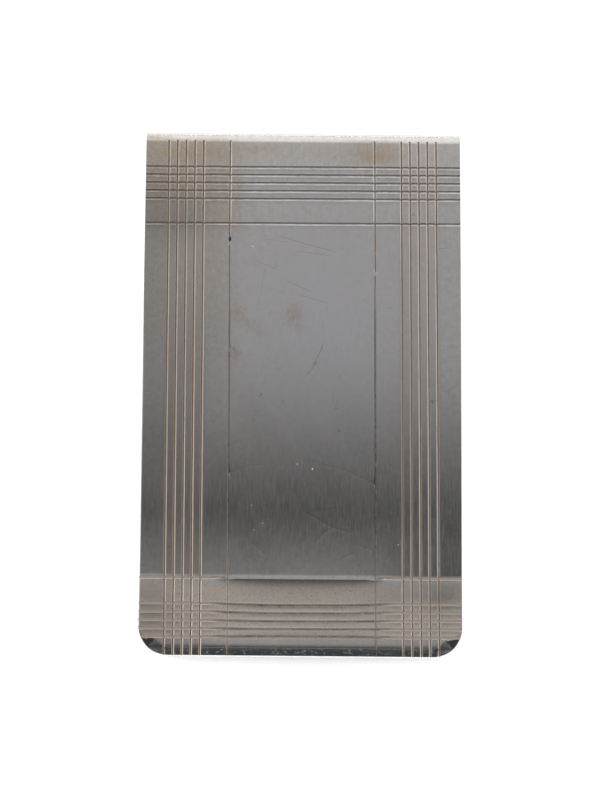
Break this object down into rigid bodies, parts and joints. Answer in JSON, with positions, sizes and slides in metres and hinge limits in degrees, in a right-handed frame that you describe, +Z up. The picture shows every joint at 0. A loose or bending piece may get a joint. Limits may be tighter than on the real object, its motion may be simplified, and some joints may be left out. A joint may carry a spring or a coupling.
{
  "type": "money clip",
  "caption": "Folded sheet-metal money clip: wide engraved front leaf with plaid border lines, sprung U-shaped fold, plain tapered back tongue.",
  "frame": {"origin": "under the middle of the clip, on the surface that its back leaf lies on", "axes": "+Y along the clip towards the fold, +Z up through its thickness towards the engraved face, +X across it"},
  "size_m": [0.0318, 0.0558, 0.0037],
  "materials": {
    "silver_sheet": "satin silver with a fine lengthwise grain, brown tarnish in the engraved lines and light wear scratches"
  },
  "bodies": {
    "back": {"back_leaf": "silver_sheet", "spring_bend": "silver_sheet"},
    "front": {"front_leaf": "silver_sheet"}
  },
  "joints": [
    {"name": "leaf_flex", "type": "hinge", "parent": "back", "child": "front", "pos_m": [0, 0.0262, 0.00168], "axis": [-1, 0, 0], "range_deg": [0, 7], "stiffness_Nm_per_rad": 2.5, "springref_deg": -2.01, "deforming": ["spring_bend"]}
  ]
}
